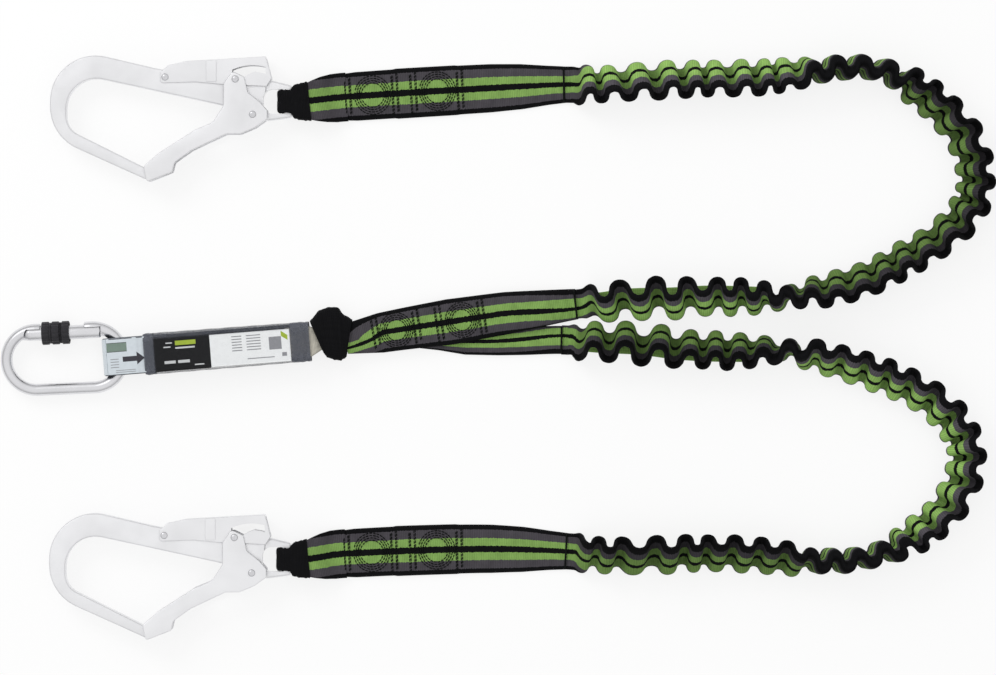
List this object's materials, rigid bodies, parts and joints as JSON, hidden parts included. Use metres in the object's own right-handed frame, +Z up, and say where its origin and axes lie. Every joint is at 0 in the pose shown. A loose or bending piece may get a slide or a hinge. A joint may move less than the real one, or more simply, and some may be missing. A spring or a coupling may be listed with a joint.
{
  "type": "elastic shock absorbing lanyard",
  "caption": "Y-shaped fall-arrest lanyard: screw-sleeve karabiner, folded tear-webbing absorber in a clear cover, gathered elastic legs with large scaffold hooks.",
  "frame": {"origin": "On the surface that the lanyard lies on, under the centre of its box", "axes": "+Z up from that surface; +X from the connectors' side to the side where the elastic legs run free; +Y towards hook a"},
  "size_m": [0.8444, 0.5002, 0.032],
  "materials": {
    "karabiner_steel": "bright zinc-plated steel, smooth forged",
    "hook_steel": "zinc-plated forged steel, satin",
    "hook_sheet": "zinc-plated pressed sheet, smooth",
    "rivet_steel": "domed steel rivet",
    "spring_steel": "spring wire",
    "nut_steel": "turned steel",
    "grip_plastic": "black moulded plastic",
    "clear_film": "clear shrunk film",
    "dark_webbing": "black woven tape",
    "grey_webbing": "grey-green woven tape",
    "cream_webbing": "undyed woven tape",
    "green_webbing": "striped green and grey woven webbing, black edges",
    "black_card": "bare black card",
    "white_card": "bare white card",
    "pale_label": "pale woven label, bare"
  },
  "bodies": {
    "webbing": {"absorber_tear_webbing": "dark_webbing", "absorber_cover": "clear_film", "front_label_card": "black_card", "rear_label_card": "white_card", "absorber_front_loop": "grey_webbing", "front_loop_label": "pale_label", "absorber_rear_loop": "cream_webbing", "link_bight": "dark_webbing", "link_wear_sleeve": "dark_webbing", "leg_a_fork_section": "green_webbing", "leg_a_elastic": "green_webbing", "leg_a_hook_section": "green_webbing", "leg_a_hook_loop": "green_webbing", "leg_a_hook_wear_sleeve": "dark_webbing", "leg_b_fork_section": "green_webbing", "leg_b_elastic": "green_webbing", "leg_b_hook_section": "green_webbing", "leg_b_hook_loop": "green_webbing", "leg_b_hook_wear_sleeve": "dark_webbing"},
    "karabiner": {"karabiner_body": "karabiner_steel"},
    "karabiner_gate": {"karabiner_gate": "karabiner_steel", "karabiner_gate_rivet": "rivet_steel", "karabiner_nose_pin": "rivet_steel", "karabiner_gate_spring": "spring_steel", "karabiner_spring_plunger": "nut_steel"},
    "screw_sleeve": {"screw_sleeve_grip": "grip_plastic", "screw_sleeve_nut": "nut_steel"},
    "hook_a": {"hook_a_body": "hook_steel", "hook_a_gate_rivet": "rivet_steel", "hook_a_lever_rivet": "rivet_steel", "hook_a_gate_spring": "spring_steel", "hook_a_lever_spring": "spring_steel"},
    "hook_a_gate": {"hook_a_gate": "hook_sheet", "hook_a_latch_pin": "rivet_steel"},
    "hook_a_lever": {"hook_a_lever": "hook_sheet"},
    "hook_b": {"hook_b_body": "hook_steel", "hook_b_gate_rivet": "rivet_steel", "hook_b_lever_rivet": "rivet_steel", "hook_b_gate_spring": "spring_steel", "hook_b_lever_spring": "spring_steel"},
    "hook_b_gate": {"hook_b_gate": "hook_sheet", "hook_b_latch_pin": "rivet_steel"},
    "hook_b_lever": {"hook_b_lever": "hook_sheet"}
  },
  "joints": [
    {"name": "karabiner_swing", "type": "hinge", "parent": "webbing", "child": "karabiner", "pos_m": [-0.31753, -0.00899, 0.0084], "axis": [-0.0435, 0.9971, 0.0628], "range_deg": [0, 90]},
    {"name": "karabiner_gate_hinge", "type": "hinge", "parent": "karabiner", "child": "karabiner_gate", "pos_m": [-0.39662, 0.00973, 0.0098], "axis": [-0.0027, 0.0628, -0.998], "range_deg": [0, 25], "stiffness_Nm_per_rad": 0.15, "springref_deg": -20.05},
    {"name": "screw_sleeve_travel", "type": "slide", "parent": "karabiner_gate", "child": "screw_sleeve", "axis": [-0.999, -0.0436, 0], "range_m": [-0.02, 0]},
    {"name": "hook_a_swing", "type": "hinge", "parent": "webbing", "child": "hook_a", "pos_m": [-0.1764, 0.207, 0.0115], "axis": [0, 1, 0], "range_deg": [0, 100]},
    {"name": "hook_a_gate_hinge", "type": "hinge", "parent": "hook_a", "child": "hook_a_gate", "pos_m": [-0.2068, 0.196, 0.0115], "axis": [0, 0, -1], "range_deg": [0, 30], "stiffness_Nm_per_rad": 0.3, "springref_deg": -17.19},
    {"name": "hook_a_lever_hinge", "type": "hinge", "parent": "hook_a", "child": "hook_a_lever", "pos_m": [-0.2812, 0.2277, 0.0115], "axis": [0, 0, -1], "range_deg": [0, 4.25], "deforming": ["hook_a_lever_spring"]},
    {"name": "hook_b_swing", "type": "hinge", "parent": "webbing", "child": "hook_b", "pos_m": [-0.1772, -0.1818, 0.0115], "axis": [0, 1, 0], "range_deg": [0, 100]},
    {"name": "hook_b_gate_hinge", "type": "hinge", "parent": "hook_b", "child": "hook_b_gate", "pos_m": [-0.2076, -0.1928, 0.0115], "axis": [0, 0, -1], "range_deg": [0, 30], "stiffness_Nm_per_rad": 0.3, "springref_deg": -17.19},
    {"name": "hook_b_lever_hinge", "type": "hinge", "parent": "hook_b", "child": "hook_b_lever", "pos_m": [-0.282, -0.1611, 0.0115], "axis": [0, 0, -1], "range_deg": [0, 4.25], "deforming": ["hook_b_lever_spring"]}
  ],
  "couplings": [
    {"joint": "hook_a_lever_hinge", "follows": "hook_a_gate_hinge", "ratio": 0.14167},
    {"joint": "hook_b_lever_hinge", "follows": "hook_b_gate_hinge", "ratio": 0.14167}
  ]
}
